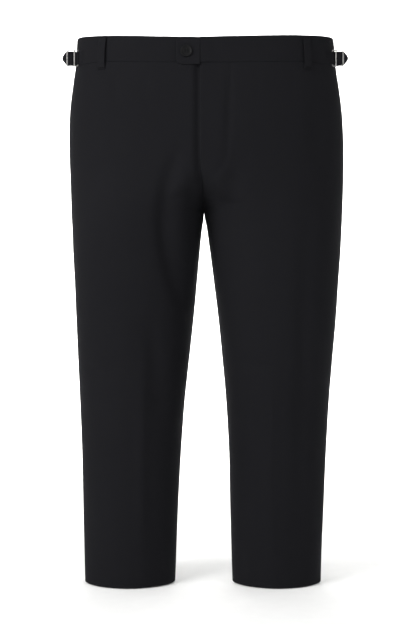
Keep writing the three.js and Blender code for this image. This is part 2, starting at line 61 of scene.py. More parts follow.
# Level sections of the worn shape, in millimetres: height, the side seam and inseam of the right leg,
# the inseam and side seam of the left leg, how far the front and the seat stand out from the side
# seams, and how square the section is (2 is an ellipse).
SECTION_COLUMNS = (
    "height", "right_side", "right_inner", "left_inner", "left_side", "front", "back", "square"
)
SECTIONS = (
    (20, -226, 0, 0, 231, 110, 109, 2.3),
    (0, -227, 0, 0, 231.5, 110, 110, 2.3),
    (-45, -230, 0, 0, 235.5, 112, 114, 2.3),
    (-80, -235, 0, 0, 240.5, 115, 121, 2.3),
    (-120, -240, 0, 0, 246, 118, 129, 2.3),
    (-160, -242, 0, 0, 249, 120, 134, 2.3),
    (-200, -242, 0, 0, 250.5, 120, 135, 2.3),
    (-250, -240, 0, 0, 250, 118, 130, 2.25),
    (-309, -238, 0, 0, 248, 113, 120, 2.2),
    (-340, -236.5, -4, 5, 246.5, 110, 115, 2.2),
    (-380, -235, -8, 10.5, 244.5, 105, 109, 2.2),
    (-430, -232.5, -12.5, 17, 241, 100, 102, 2.15),
    (-500, -229.5, -19, 25.5, 236.5, 93, 94, 2.1),
    (-570, -226.5, -26.5, 32.5, 230.5, 87, 87, 2.05),
    (-650, -223, -35, 39.5, 224, 80, 80, 2),
    (-740, -219.5, -41.5, 44.5, 219, 73, 75, 1.95),
    (-830, -217.5, -46.5, 46.5, 215, 67, 70, 1.9),
    (-920, -215.5, -50, 49, 211, 63, 65, 1.85),
    (-980, -214, -52.5, 51, 209.5, 61, 63, 1.85),
)
HEM_HEIGHT = -971
LEG_LENGTH = 662
CLOTH_THICKNESS = 1.1

# The crotch: its point, the top of its curve, and the heights at the side seam of the rows that end
# in the curve. The two halves' sections run into each other above it by a slope and its growth.
CROTCH_HEIGHT = -309
CROTCH_BACK = 8
CURVE_TOP = {FRONT: -246, BACK: -196}
SIDE_AT_CURVE_TOP = -232
SIDE_AT_CURVE_END = -345
ONE_HALF_ABOVE, TWO_LEGS_BELOW = -180, -345
MERGE_SLOPE = 0.2
MERGE_GROWTH = {FRONT: 0.026, BACK: 0.02}

# The waist: how high its edge lies at the centre, how it dips and swells on the way to the side, and
# how deep the band is.
EDGE_AT_CENTRE = {FRONT: -19, BACK: 15}
EDGE_DIP = {FRONT: 26, BACK: 0}
EDGE_SWELL = {RIGHT: 0.8, LEFT: 2.1}
EDGE_LIFT = 1.1
WAIST_SQUARE = 2.3
BAND_HEIGHT = 43
BAND_EXTRA_AT_SIDE = 5.3

# The fly: where its edge lies, how far the cloth runs on and is pressed back under it, and the soft
# trough beside it and ridge along it, as (distance from the edge, width, depth).
FLY_X = -6.8
FLY_STRAIGHT_TO = -205
FLY_LAP = 7
FLY_RUN_OUT = 20
FLY_SUNK = 3.1
FLY_SUNK_FROM, FLY_SUNK_TO = 1.5, 15
FLY_TROUGH = (4.5, 4, 2.2)
FLY_RIDGE = (4.5, 3.5, -0.5)


def mix(a, b, share):
    return a + (b - a) * share


def clamp(value, low, high):
    return min(max(value, low), high)


def ease(value, start, end):
    """0 before start and 1 past end, with a soft run between them."""
    share = clamp((value - start) / (end - start), 0, 1)
    return share * share * (3 - 2 * share)


def worn(column, height):
    """A smooth curve through one column of the sections."""
    c = SECTION_COLUMNS.index(column)
    i = 0
    while i < len(SECTIONS) - 2 and height < SECTIONS[i + 1][0]:
        i += 1
    upper, lower = SECTIONS[i], SECTIONS[i + 1]
    above, below = SECTIONS[max(i - 1, 0)], SECTIONS[min(i + 2, len(SECTIONS) - 1)]
    span = lower[0] - upper[0]
    t = clamp((height - upper[0]) / span, 0, 1)
    leaving = t * (1 - t) ** 2 * span * (lower[c] - above[c]) / (lower[0] - above[0])
    arriving = t * t * (t - 1) * span * (below[c] - upper[c]) / (below[0] - upper[0])
    return mix(upper[c], lower[c], t * t * (3 - 2 * t)) + leaving + arriving


def centre_seam(face, height):
    return 0 if face == BACK else FLY_X * ease(height, CROTCH_HEIGHT, FLY_STRAIGHT_TO)


def section(half, face, height):
    """The level section of one half: its side, inner end and middle along X, how far it stands out,
    how deep its inner end lies, its power and the angle at which the centre seam cuts it."""
    above = height > CROTCH_HEIGHT
    name = SIDE_NAME[half]
    side = worn(name + "_side", height)
    seam = centre_seam(face, height) if above else worn(name + "_inner", height)
    middle = mix(seam, (seam + side) / 2, 1 - ease(height, TWO_LEGS_BELOW, ONE_HALF_ABOVE))
    rise = height - CROTCH_HEIGHT
    inner = seam - half * rise * (MERGE_SLOPE + MERGE_GROWTH[face] * rise) if above else seam
    power = 2 / worn("square", height)
    stand = face * worn("front" if face == FRONT else "back", height)
    depth = CROTCH_BACK * ease(height, HEM_HEIGHT, CROTCH_HEIGHT)
    start = math.acos(clamp((middle - seam) / (middle - inner), 0, 1) ** (1 / power))
    return side, inner, middle, stand, depth, power, start


def skin(half, face, height, turn):
    """A point of the cloth: turn is 0 at the centre seam or inseam and 1 at the side seam."""
    side, inner, middle, stand, depth, power, start = section(half, face, height)
    if turn < 0.5:
        angle = mix(start, math.pi / 2, turn * 2)
        x = mix(middle, inner, max(math.cos(angle), 0) ** power)
        return Vector((x, mix(depth, stand, math.sin(angle) ** power), height))
    x = mix(middle, side, max(-math.cos(turn * math.pi), 0) ** power)
    return Vector((x, stand * max(math.sin(turn * math.pi), 0) ** power, height))


def towards_centre(turn):
    return 1 if turn < 0.5 else max(math.sin(turn * math.pi), 0) ** (2 / WAIST_SQUARE)


def waist_level(face, turn):
    near = towards_centre(turn)
    return EDGE_AT_CENTRE[face] * near**2 - EDGE_DIP[face] * (near * (1 - near)) ** 2


def top_edge(half, face, turn):
    """The waistband's top edge, which swells a little between the centre front and the side."""
    if face == BACK:
        return waist_level(face, turn)
    from_centre = clamp(2 * turn - 1, 0, 1)
    swell = EDGE_SWELL[half] * math.sin(math.pi * from_centre**0.7)
    return waist_level(face, turn) + swell + EDGE_LIFT * (1 - ease(from_centre, 0.75, 1))


def band_bottom(face, turn):
    at_side = 1 - ease(towards_centre(turn), 0.4, 0.82)
    return waist_level(face, turn) - BAND_HEIGHT - BAND_EXTRA_AT_SIDE * at_side


def row_height(face, row, turn):
    """The height of a row: 0 is the waist seam, 1 and 2 the ends of the crotch curve and 3 the hem."""
    outward = ease(turn, mix(0.5, 0, clamp(row - 1, 0, 1)), 1)
    curve_top = mix(CURVE_TOP[face], SIDE_AT_CURVE_TOP, outward)
    curve_end = mix(CROTCH_HEIGHT, SIDE_AT_CURVE_END, outward)
    if row <= 1:
        return mix(band_bottom(face, turn), curve_top, row)
    if row >= 2:
        return mix(curve_end, HEM_HEIGHT, row - 2)
    on_seam = mix(CURVE_TOP[face], CROTCH_HEIGHT, math.sin((row - 1) * math.pi / 2))
    return mix(on_seam, mix(SIDE_AT_CURVE_TOP, SIDE_AT_CURVE_END, row - 1), outward)


TURN_STEP = 0.004


def on_body(face, x, height):
    """A place above the crotch from the front or the back: its point and the way out of the cloth."""
    half = RIGHT if x < centre_seam(face, height) else LEFT
    side, inner, middle, stand, depth, power, start = section(half, face, height)
    share = clamp((x - middle) / (side - middle), 0, 1)
    turn = math.acos(-(share ** (1 / power))) / math.pi
    before = skin(half, face, height, max(turn - TURN_STEP, 0.5))
    along = skin(half, face, height, min(turn + TURN_STEP, 1)) - before
    out = Vector((along.y, -along.x, 0)) * (-face * half)
    return skin(half, face, height, turn), out.normalized(), turn


# The folds and creases of one face, in front or back view: where each starts, bends and ends, its
# width and depth in millimetres (a depth below 0 is a ridge), and how much it leans to one side.
FRONT_FOLDS = (
    ((-38, -206), (-70, -340), (-27, -500), 12.5, 7, -0.3),
    ((-26, -232), (-38, -325), (-28, -430), 14, -4.4, 0),
    ((22, -240), (28, -320), (32, -400), 12, -3, 0),
    ((43.6, -62), (42, -150), (36, -226), 6, 2.8, 0),
    ((36, -216), (25, -246), (-2, -259), 6, 2.1, 0),
    ((-103, -490), (-88, -560), (-76, -700), 20, 5, 0.3),
    ((-98, -470), (-109, -759), (-106, -960), 11, -3, 0),
    ((60, -236), (44, -290), (38, -360), 15, 4, -0.3),
    ((178, -290), (172, -600), (166, -930), 16, 4.5, 0),
    ((116, -560), (115, -740), (120, -960), 11, -2.5, 0),
    ((204, -110), (199, -180), (206, -250), 20, 3.5, 0),
    ((-12, -268), (-38, -292), (-74, -296), 6, 1.6, 0.4),
    ((12, -272), (34, -297), (66, -301), 6, 1.5, -0.4),
    ((-150, -578), (-182, -592), (-212, -580), 10, 1.4, 0.3),
    ((-58, -640), (-92, -656), (-128, -650), 9, 1.3, 0.3),
    ((64, -566), (92, -582), (128, -575), 10, 1.4, -0.2),
    ((152, -640), (180, -653), (204, -645), 9, 1.2, 0.2),
    ((-152, -902), (-126, -915), (-92, -907), 8, 1.1, 0.2),
    ((92, -896), (124, -911), (158, -903), 8, 1.0, -0.2),
    ((-150, -74), (-153, -100), (-150, -132), 8, 1.1, 0),
    ((150, -74), (153, -96), (152, -126), 8, 1.0, 0),
    ((-96, -72), (-99, -92), (-102, -112), 6, 0.7, 0),
    ((88, -72), (90, -95), (88, -118), 6, 0.7, 0),
)
FOLD_STEPS = 24


def bows(folds):
    """Each fold as points along its bow, with the box outside which it does nothing."""
    made = []
    for start, bend, end, width, depth, lean in folds:
        a, b, c = Vector(start), Vector(bend), Vector(end)
        control = 2 * b - (a + c) / 2
        line = []
        for k in range(FOLD_STEPS + 1):
            t = k / FOLD_STEPS
            line.append(a * (1 - t) ** 2 + control * (2 * t * (1 - t)) + c * t * t)
        low = [min(p[n] for p in line) - 3 * width for n in range(2)]
        high = [max(p[n] for p in line) + 3 * width for n in range(2)]
        made.append((line, width, depth, lean, low, high))
    return made


def hollow(distance, at, width, depth):
    """A soft trough's depth at a distance, where its middle lies at another."""
    return depth * math.exp(-(((distance - at) / width) ** 2))


def fold_depth(made, x, height):
    """How far the folds press a point in, by its distance to each fold's line."""
    total = 0
    here = Vector((x, height))
    for line, width, depth, lean, low, high in made:
        if not (low[0] < x < high[0] and low[1] < height < high[1]):
            continue
        nearest = min(range(FOLD_STEPS + 1), key=lambda k: (line[k] - here).length_squared)
        k = clamp(nearest, 1, FOLD_STEPS - 1)
        along = (line[k + 1] - line[k - 1]) / 2
        step = along.length
        along.normalize()
        gap = here - line[nearest]
        back, on = -step / 2 if nearest > 0 else 0, step / 2 if nearest < FOLD_STEPS else 0
        slid = clamp(gap.dot(along), back, on)
        gap -= along * slid
        away = gap.length / width
        across = (along.x * gap.y - along.y * gap.x) / width
        fade = math.sin(math.pi * clamp((nearest + slid / step) / FOLD_STEPS, 0.04, 0.96)) ** 0.7
        shape = math.exp(-(away**2)) - 0.45 * lean * across * math.exp(-0.6 * away**2)
        total += depth * fade * shape
    return total


FACE_FOLDS = {FRONT: bows(FRONT_FOLDS)}


# Waves, as (depth, length across, length down, place in the noise), in millimetres.
WAVES = ((0.9, 70, 150, 3), (0.25, 22, 40, 5))
TAUT_AT, SLACK_AT = -4, 42


def slack(face, x, height, from_seam):
    """Folds, and the slow waves that a worn cloth keeps between them. Both die out at the seams."""
    waves = 0
    for deep, across, down, layer in WAVES:
        waves += deep * noise.noise(Vector((x / across, height / down, layer * face)))
    return (fold_depth(FACE_FOLDS[face], x, height) + waves) * ease(from_seam, TAUT_AT, SLACK_AT)


def roll(distance, depth, radius):
    """How far a turned edge curls back at a distance from it."""
    share = clamp(1 - distance / radius, 0, 1)
    return depth * (1 - math.sqrt(1 - share * share))


# A panel's columns lie at set steps from its edges and evenly between them. Its edges curl in at the
# seams, and the outermost columns turn straight in by the allowance, so that no light comes through.
SAMPLES = 80
EDGE_STEPS = (0, 0.03, 0.5, 1.2, 2.4, 4.5)
PANEL_COLUMNS = 86
SEAM_ALLOWANCE = 3
SEAM_ROLL, SEAM_RADIUS = 0.8, 1.8
FLY_ROLL, FLY_RADIUS = 1.9, 1.4
ROLL_ENDS, ROLL_STARTS = 3, 45  # distances from the crotch
CROTCH_TURN = 8


def length_of(line):
    return sum((after - before).length for before, after in zip(line, line[1:]))


def stations(line, distances):
    """Points along a line at given distances from its start."""
    reached = [0]
    for before, after in zip(line, line[1:]):
        reached.append(reached[-1] + (after - before).length)
    made = []
    i = 1
    for wanted in distances:
        while i < len(line) - 1 and reached[i] < wanted:
            i += 1
        t = (wanted - reached[i - 1]) / max(reached[i] - reached[i - 1], 1e-9)
        made.append(line[i - 1].lerp(line[i], clamp(t, 0, 1)))
    return made


def spread(length, count, first=EDGE_STEPS, last=EDGE_STEPS):
    """Set distances from both ends of a length, and even steps between them."""
    middle = count - len(first) - len(last) + 2
    even = [mix(first[-1], length - last[-1], k / middle) for k in range(1, middle)]
    return [*first, *even, *(length - far for far in reversed(last))]


def panel_row(half, face, row, inward):
    """One row of a leg panel from its centre seam or inseam to its side seam, as (point, distance)."""
    turns = [k / SAMPLES for k in range(SAMPLES + 1)]
    line = [skin(half, face, row_height(face, row, turn), turn) for turn in turns]
    seam = line[0]
    lapped = half == RIGHT and face == FRONT
    lap = 0
    first = EDGE_STEPS
    if lapped:
        runs_out_at = CURVE_TOP[FRONT] + FLY_RUN_OUT
        lap = FLY_LAP * ease(seam.z, runs_out_at, runs_out_at + FLY_RUN_OUT)
        first = (0, 0.03 + 0.3 * lap, 0.5 + 0.7 * lap, *(lap + step for step in (1.2, 2.4, 4.5, 7, 11)))
    if lap > 0:
        line.insert(0, Vector((seam.x + lap, seam.y, seam.z)))
    length = length_of(line)
    distances = spread(length, PANEL_COLUMNS, first)
    points = stations(line, distances)
    made = []
    for i, (p, far) in enumerate(zip(points, distances)):
        ahead = points[min(i + 1, len(points) - 1)] - points[max(i - 1, 0)]
        out = Vector((ahead.y, -ahead.x, 0)).normalized() * (-face * half)
        if i == len(points) - 1:
            out = Vector((half, 0, 0))
        on_fly = ease(p.z, CROTCH_HEIGHT, CURVE_TOP[FRONT])
        if i == 0:
            on_crotch = ease(p.z, CROTCH_HEIGHT - CROTCH_TURN, CROTCH_HEIGHT)
            out = Vector((-half, 0, 0)).lerp(Vector((0, 0, -1)), on_crotch)
            out = out.lerp(Vector((0, face, 0)), on_fly).normalized()
        from_side = length - far
        pressed = slack(face, p.x, p.z, min(far - lap, from_side))
        pressed += roll(from_side, SEAM_ROLL, SEAM_RADIUS)
        from_crotch = ease(abs(p.z - CROTCH_HEIGHT), ROLL_ENDS, ROLL_STARTS)
        sunk = 0
        if lapped:
            sunk = FLY_SUNK * on_fly * (1 - ease(seam.x - p.x, FLY_SUNK_FROM, FLY_SUNK_TO))
            pressed += on_fly * hollow(far - lap, *FLY_TROUGH)
            pressed += from_crotch * (1 - on_fly) * roll(far, SEAM_ROLL, SEAM_RADIUS)
        elif face == FRONT:
            depth, radius = mix(SEAM_ROLL, FLY_ROLL, on_fly), mix(SEAM_RADIUS, FLY_RADIUS, on_fly)
            pressed += from_crotch * roll(far, depth, radius) + on_fly * hollow(far, *FLY_RIDGE)
        else:
            pressed += from_crotch * roll(far, SEAM_ROLL, SEAM_RADIUS)
        if i in (0, len(points) - 1):
            pressed += SEAM_ALLOWANCE
            far += SEAM_ALLOWANCE * (1 if i else -1)
        made.append((p - out * (pressed + inward) + Vector((0, sunk, 0)), far - length / 2))
    return made


# Each is (row or millimetres above the hem, how far it lies in from the skin).
WAIST_SEAM_ROWS = ((0, 0.6), (0.003, 0.3), (0.008, 0.1), (0.016, 0), (0.028, 0))
HEM_ROWS = (
    (1.6, 0), (0.7, 0.12), (0.2, 0.4), (0, 1), (0.2, 1.7), (0.8, 2.1), (3, 2.3),
    (8, 2.3), (14, 2.3), (20, 2.3), (27, 2.3), (34, 2.3), (40, 2.3),
)
RISE_ROWS, CURVE_ROWS, LEG_ROWS = 52, 36, 164


def panel_rows():
    """Rows down a panel: its waist seam, rise, crotch curve and leg, then the fold of the hem and the
    turn-up inside it. Each is (row, how far it lies in from the skin)."""
    rows = list(WAIST_SEAM_ROWS)
    rows += [(k / RISE_ROWS, 0) for k in range(3, RISE_ROWS)]
    rows += [(1 + k / CURVE_ROWS, 0) for k in range(CURVE_ROWS)]
    rows += [(2 + k / LEG_ROWS, 0) for k in range(LEG_ROWS)]
    return rows + [(3 - up / LEG_LENGTH, inward) for up, inward in HEM_ROWS]


def lay_cloth(name, grid, outside_in=False):
    """A sheet of cloth from a grid of (point, distance across, distance down) in millimetres. The
    distances become its UV map in metres, so that the weave follows the cloth."""
    down, across = len(grid) - 1, len(grid[0]) - 1
    bm = bmesh.new()
    bmesh.ops.create_grid(bm, x_segments=across, y_segments=down, size=0.5)
    flat = {}
    for v in bm.verts:
        point, right, below = grid[round((0.5 - v.co.y) * down)][round((0.5 + v.co.x) * across)]
        v.co = point * MM
        flat[v] = Vector((right, -below)) * MM
    uv = bm.loops.layers.uv.new("cloth")
    for face in bm.faces:
        face.smooth = True
        for corner in face.loops:
            corner[uv].uv = flat[corner.vert]
    if outside_in:
        bmesh.ops.reverse_faces(bm, faces=bm.faces[:])
    return finished(name, bm)


def finished(name, bm):
    mesh = bpy.data.meshes.new(name)
    bm.to_mesh(mesh)
    bm.free()
    piece = bpy.data.objects.new(name, mesh)
    bpy.context.scene.collection.objects.link(piece)
    return piece


def thicken(piece, thickness):
    """Gives a sheet its cloth's thickness, on the inside."""
    shell = piece.modifiers.new("cloth thickness", "SOLIDIFY")
    shell.thickness = thickness * MM
    shell.offset = -1
    shell.use_even_offset = False


def lengths_down(rows):
    """How far down the cloth each row lies, along its middle column."""
    down = [0]
    for before, after in zip(rows, rows[1:]):
        middle = len(after) // 2
        down.append(down[-1] + (after[middle][0] - before[middle][0]).length)
    return down


def linear(hex_colour):
    """An sRGB hex colour as the linear RGBA that sockets take."""
    made = []
    for k in (0, 2, 4):
        c = int(hex_colour[k : k + 2], 16) / 255
        made.append(c / 12.92 if c <= 0.04045 else ((c + 0.055) / 1.055) ** 2.4)
    return (*made, 1)


def add(tree, kind, settings=None, **inputs):
    """Adds a node with its settings. An input is a value, or another node's output to link to, and is
    named, or numbered after an underscore."""
    made = tree.nodes.new(kind)
    for name, value in (settings or {}).items():
        setattr(made, name, value)
    for name, value in inputs.items():
        number = name.lstrip("_")
        socket = made.inputs[int(number) if number.isdigit() else name.replace("_", " ")]
        if isinstance(value, bpy.types.NodeSocket):
            tree.links.new(value, socket)
        else:
            socket.default_value = value
    return made


def new_material(name):
    material = bpy.data.materials.new(name)
    material.use_nodes = True
    material.node_tree.nodes.clear()
    return material, material.node_tree


# Worsted wool, twill woven from fine combed yarn, dyed black and pressed. It is matt, with faint
# steep lines of twill, a trace of fibre fuzz that catches the light at the edges, and slightly
# flatter, shinier places where it was pressed. The real twill lines are 0.4 mm apart; they are drawn
# 1 mm apart so that they show at all.
TWILL_PERIOD = 0.001
WAVE_UNIT = 0.31416  # the period of a wave texture at a scale of 1
wool, tree = new_material("black worsted wool, twill woven")
place = add(tree, "ShaderNodeUVMap", {"uv_map": "cloth"}).outputs["UV"]
steep = add(tree, "ShaderNodeMapping", Vector=place, Rotation=(0, 0, math.radians(27)))
twill = add(
    tree,
    "ShaderNodeTexWave",
    {"wave_type": "BANDS", "bands_direction": "X", "wave_profile": "SIN"},
    Vector=steep.outputs["Vector"],
    Scale=WAVE_UNIT / TWILL_PERIOD,
    Distortion=0.6,
    Detail=2.0,
    Detail_Scale=0.4,
)
yarn = add(
    tree,
    "ShaderNodeTexWave",
    {"wave_type": "BANDS", "bands_direction": "Y", "wave_profile": "SIN"},
    Vector=place,
    Scale=WAVE_UNIT / (TWILL_PERIOD * 0.7),
    Distortion=0.8,
    Detail=1.0,
)
melange = add(tree, "ShaderNodeTexNoise", Vector=place, Scale=900.0, Detail=3.0, Roughness=0.6)
body_place = add(tree, "ShaderNodeTexCoord").outputs["Object"]
pressing = add(tree, "ShaderNodeTexNoise", Vector=body_place, Scale=7.0, Detail=3.0, Roughness=0.5)
times, times_plus = {"operation": "MULTIPLY"}, {"operation": "MULTIPLY_ADD"}
weave = add(tree, "ShaderNodeMath", times, _0=twill.outputs["Fac"], _1=yarn.outputs["Fac"])
mottle = add(tree, "ShaderNodeMath", times, _0=melange.outputs["Fac"], _1=0.6)
tone = add(tree, "ShaderNodeMath", times_plus, _0=weave.outputs[0], _1=0.5, _2=mottle.outputs[0])
shade = add(tree, "ShaderNodeValToRGB", Fac=tone.outputs[0])
shade.color_ramp.elements[0].position = 0.1
shade.color_ramp.elements[0].color = linear("0a0a0c")
shade.color_ramp.elements[1].position = 0.9
shade.color_ramp.elements[1].color = linear("1a1a1d")
dull = add(tree, "ShaderNodeMapRange", Value=pressing.outputs["Fac"], To_Min=0.76, To_Max=0.92)
relief = add(tree, "ShaderNodeBump", Strength=0.35, Distance=0.00025, Height=weave.outputs[0])
cloth = add(
    tree,
    "ShaderNodeBsdfPrincipled",
    Base_Color=shade.outputs["Color"],
    Roughness=dull.outputs[0],
    IOR=1.5,
    Specular_IOR_Level=0.055,
    Sheen_Weight=0.016,
    Sheen_Roughness=0.45,
    Sheen_Tint=linear("c9ccd4"),
    Normal=relief.outputs["Normal"],
)
add(tree, "ShaderNodeOutputMaterial", Surface=cloth.outputs["BSDF"])


def in_wool(piece, node):
    """Gives a piece its wool, hangs it on the root body and hides the solid that it stands for."""
    piece.data.materials.append(wool)
    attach(piece, "root")
    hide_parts(node)


def sew_panel(half, face):
    rows = [panel_row(half, face, row, inward) for row, inward in panel_rows()]
    grid = []
    for row, down in zip(rows, lengths_down(rows)):
        grid.append([(p, far * half * face, down) for p, far in row])
    node = ("front_" if face == FRONT else "back_") + SIDE_NAME[half]
    piece = lay_cloth(node + "_cloth", grid, half * face > 0)
    thicken(piece, CLOTH_THICKNESS)
    in_wool(piece, node)


for half in (RIGHT, LEFT):
    sew_panel(half, FRONT)


# The back panels: the same wool, wider than the fronts, shaped over the seat by the centre back seam
# and pressed with the crease at the back of each leg.
BACK_FOLDS = (
    ((-30, -318), (-86, -350), (-150, -352), 16, 6, 0.5),
    ((32, -325), (94, -362), (166, -358), 17, 6.5, -0.5),
    ((-60, -400), (-110, -422), (-165, -412), 15, 4, 0.4),
    ((58, -560), (108, -590), (168, -584), 18, 5, -0.4),
    ((-66, -620), (-118, -640), (-176, -630), 17, 4.5, 0.4),
    ((-128, -470), (-131, -740), (-132, -960), 11, -3, 0),
    ((134, -470), (132, -740), (130, -960), 11, -3, 0),
    ((-24, -296), (-52, -318), (-84, -322), 7, 2, 0.4),
    ((26, -300), (60, -322), (96, -324), 7, 2.2, -0.4),
    ((74, -440), (112, -452), (160, -446), 10, 2.2, -0.3),
    ((-80, -562), (-124, -578), (-170, -570), 11, 2.4, 0.3),
    ((78, -640), (116, -654), (156, -648), 10, 2, -0.3),
    ((-96, -700), (-132, -710), (-170, -702), 9, 1.5, 0.3),
    ((92, -716), (128, -728), (166, -722), 9, 1.4, -0.3),
    ((-150, -900), (-122, -914), (-90, -908), 8, 1.1, 0.2),
    ((94, -890), (126, -904), (160, -898), 8, 1.1, -0.2),
    ((-70, -46), (-72, -70), (-70, -100), 8, 0.9, 0),
    ((74, -46), (75, -74), (73, -104), 8, 0.9, 0),
)
FACE_FOLDS[BACK] = bows(BACK_FOLDS)
for half in (RIGHT, LEFT):
    sew_panel(half, BACK)


# The waistband: a straight strip of the same wool on each side, folded over at its top edge, lined
# with stiff canvas and sewn to the panels with its edges inside, from the centre front to the centre
# back.
BAND_PROFILE = (  # (share of the way down outside, further down in mm, distance out of the skin)
    (1, -0.4, -0.9),
    (1, 0, -0.25),
    (1, 0.6, 0.25),
    (1, 2.4, 0.5),
    (1, 7, 0.65),
    (0.7, 0, 0.8),
    (0.45, 0, 0.85),
    (0.2, 0, 0.85),
    (0, -4, 0.85),
    (0, -1.8, 0.7),
    (0, -0.7, 0.3),
    (0, -0.15, -0.25),
    (0, -0.1, -0.8),
    (0, -0.6, -1.3),
    (0, -2, -1.6),
    (0, -6, -1.7),
    (0.3, 0, -1.75),
    (0.6, 0, -1.7),
    (0.9, 0, -1.6),
    (0.99, 0, -1.6),
)
BAND_COLUMNS = 130
BAND_THICKNESS = 0.6
END_ROLL, END_RADIUS = 0.7, 1.6

# The left half rises to the tab that runs on from it, and the right half sinks a little under it.
TAB_END = -47.7
TAB_OUT = 2.6
TAB_RISE, TAB_RISE_OVER = 1.65, 26
TAB_SUNK = 0.9
TAB_STEP = 8


def band_row(half, share, further, proud):
    """One row of half the waistband from the centre front to the centre back, as (point, distance)."""

    def height(face, turn):
        return mix(top_edge(half, face, turn), band_bottom(face, turn), share) + further

    turns = [mix(0.5, 1, k / SAMPLES) for k in range(SAMPLES + 1)]
    line = [skin(half, FRONT, height(FRONT, turn), turn) for turn in turns]
    line += [skin(half, BACK, height(BACK, turn), turn) for turn in reversed(turns[:-1])]
    total = length_of(line)
    distances = spread(total, BAND_COLUMNS)
    points = stations(line, distances)
    made = []
    for i, (p, far) in enumerate(zip(points, distances)):
        ahead = points[min(i + 1, len(points) - 1)] - points[max(i - 1, 0)]
        out = Vector((ahead.y, -ahead.x, 0)).normalized() * half
        if i == 0:
            out = Vector((0, FRONT, 0))
        if i == len(points) - 1:
            out = Vector((0, BACK, 0))
        under = 0
        if half == RIGHT and p.y < 0:
            under = TAB_SUNK * ease(p.x, TAB_END - TAB_STEP, TAB_END)
        wave = 0.25 * noise.noise(Vector((far / 45, share * 2, half))) * ease(far, 0, 30)
        over = TAB_RISE * (1 - ease(far, 0, TAB_RISE_OVER)) if half == LEFT else 0
        from_end = total - far if half == LEFT else min(far, total - far)
        tucked = roll(from_end, END_ROLL, END_RADIUS) if proud > 0 else 0
        made.append((p + out * (proud + wave + over - under - tucked), far))
    return made


for half in (RIGHT, LEFT):
    rows = [band_row(half, *place) for place in BAND_PROFILE]
    grid = [[(p, far * half, -up) for p, far in row] for row, up in zip(rows, lengths_down(rows))]
    node = "waistband_" + SIDE_NAME[half]
    piece = lay_cloth(node + "_cloth", grid, half > 0)
    thicken(piece, BAND_THICKNESS)
    in_wool(piece, node)


# The waist tab: the left half of the waistband runs on past the fly as a tab with a rounded end, folded
# double over canvas. It lies on the right half, and the button that is sewn to that half comes
# through it.
TAB_START = FLY_X + 0.6
TAB_BACK = 0.4
TAB_BELOW_TOP = 0.9
TAB_BELOW_SEAM = 4.5
TAB_HEIGHT = 46
TAB_ROUND = 10
TAB_EDGE = 1.9
TAB_THICKNESS = 0.5
TAB_COLUMNS, TAB_ROWS = 34, 34
BUTTON_X, BUTTON_HEIGHT = -29.8, -43.6


def on_tab(x, share):
    """A point of the tab's outside, by its share of the way down."""
    from_end = min(x - TAB_END, TAB_ROUND)
    inset = TAB_ROUND - math.sqrt(TAB_ROUND**2 - (TAB_ROUND - from_end) ** 2)
    turn = on_body(FRONT, x, BUTTON_HEIGHT)[2]
    top = top_edge(RIGHT, FRONT, turn) - TAB_BELOW_TOP - inset
    bottom = band_bottom(FRONT, turn) - TAB_BELOW_SEAM + inset
    height = mix(top, bottom, share)
    edge = min(top - height, height - bottom, x - TAB_END)
    point, out, _ = on_body(FRONT, x, height)
    return point + out * (TAB_OUT - roll(max(edge, 0), TAB_OUT - TAB_BACK, TAB_EDGE))


grid = []
for j in range(TAB_ROWS + 1):
    share = 0.5 - 0.5 * math.cos(j / TAB_ROWS * math.pi)
    row = []
    for i in range(TAB_COLUMNS + 1):
        x = mix(TAB_START, TAB_END, math.sin(i / TAB_COLUMNS * math.pi / 2))
        row.append((on_tab(x, share), x, share * TAB_HEIGHT))
    grid.append(row)
tab = lay_cloth("waistband_tab_cloth", grid, True)
thicken(tab, TAB_THICKNESS)
in_wool(tab, "waistband_tab")


# The waist button: four holes, turned from dark polyester with a raised rim and a dished middle, and
# sewn on with two bars of black thread.
BUTTON_RADIUS = 10.2
BUTTON_THICK = 2.5
BUTTON_CLEAR = 0.3
HOLE_RADIUS = 1.0
HOLE_AT = 2.2
BUTTON_PROFILE = (  # (distance from the axis, height over its back)
    (0, 0),
    (8.9, 0),
    (9.8, 0.25),
    (10.2, 0.9),
    (10.2, 1.7),
    (9.9, 2.25),
    (9.2, 2.5),
    (8.4, 2.45),
    (7.7, 2.1),
    (7.1, 1.7),
    (6.3, 1.55),
    (0, 1.5),
)


def over_tab(height):
    point, out, _ = on_body(FRONT, BUTTON_X, height)
    return point + out * (TAB_OUT + BUTTON_CLEAR)


top_of_button = over_tab(BUTTON_HEIGHT + BUTTON_RADIUS)
foot_of_button = over_tab(BUTTON_HEIGHT - BUTTON_RADIUS)
button_up = (top_of_button - foot_of_button).normalized()
button_side = Vector((1, 0, 0))
button_out = button_side.cross(button_up).normalized()
button_frame = Matrix((button_side, button_up, button_out)).transposed().to_4x4()
button_frame.translation = ((top_of_button + foot_of_button) / 2 + button_out * BUTTON_CLEAR) * MM
button_frame = button_frame @ Matrix.Scale(MM, 4)

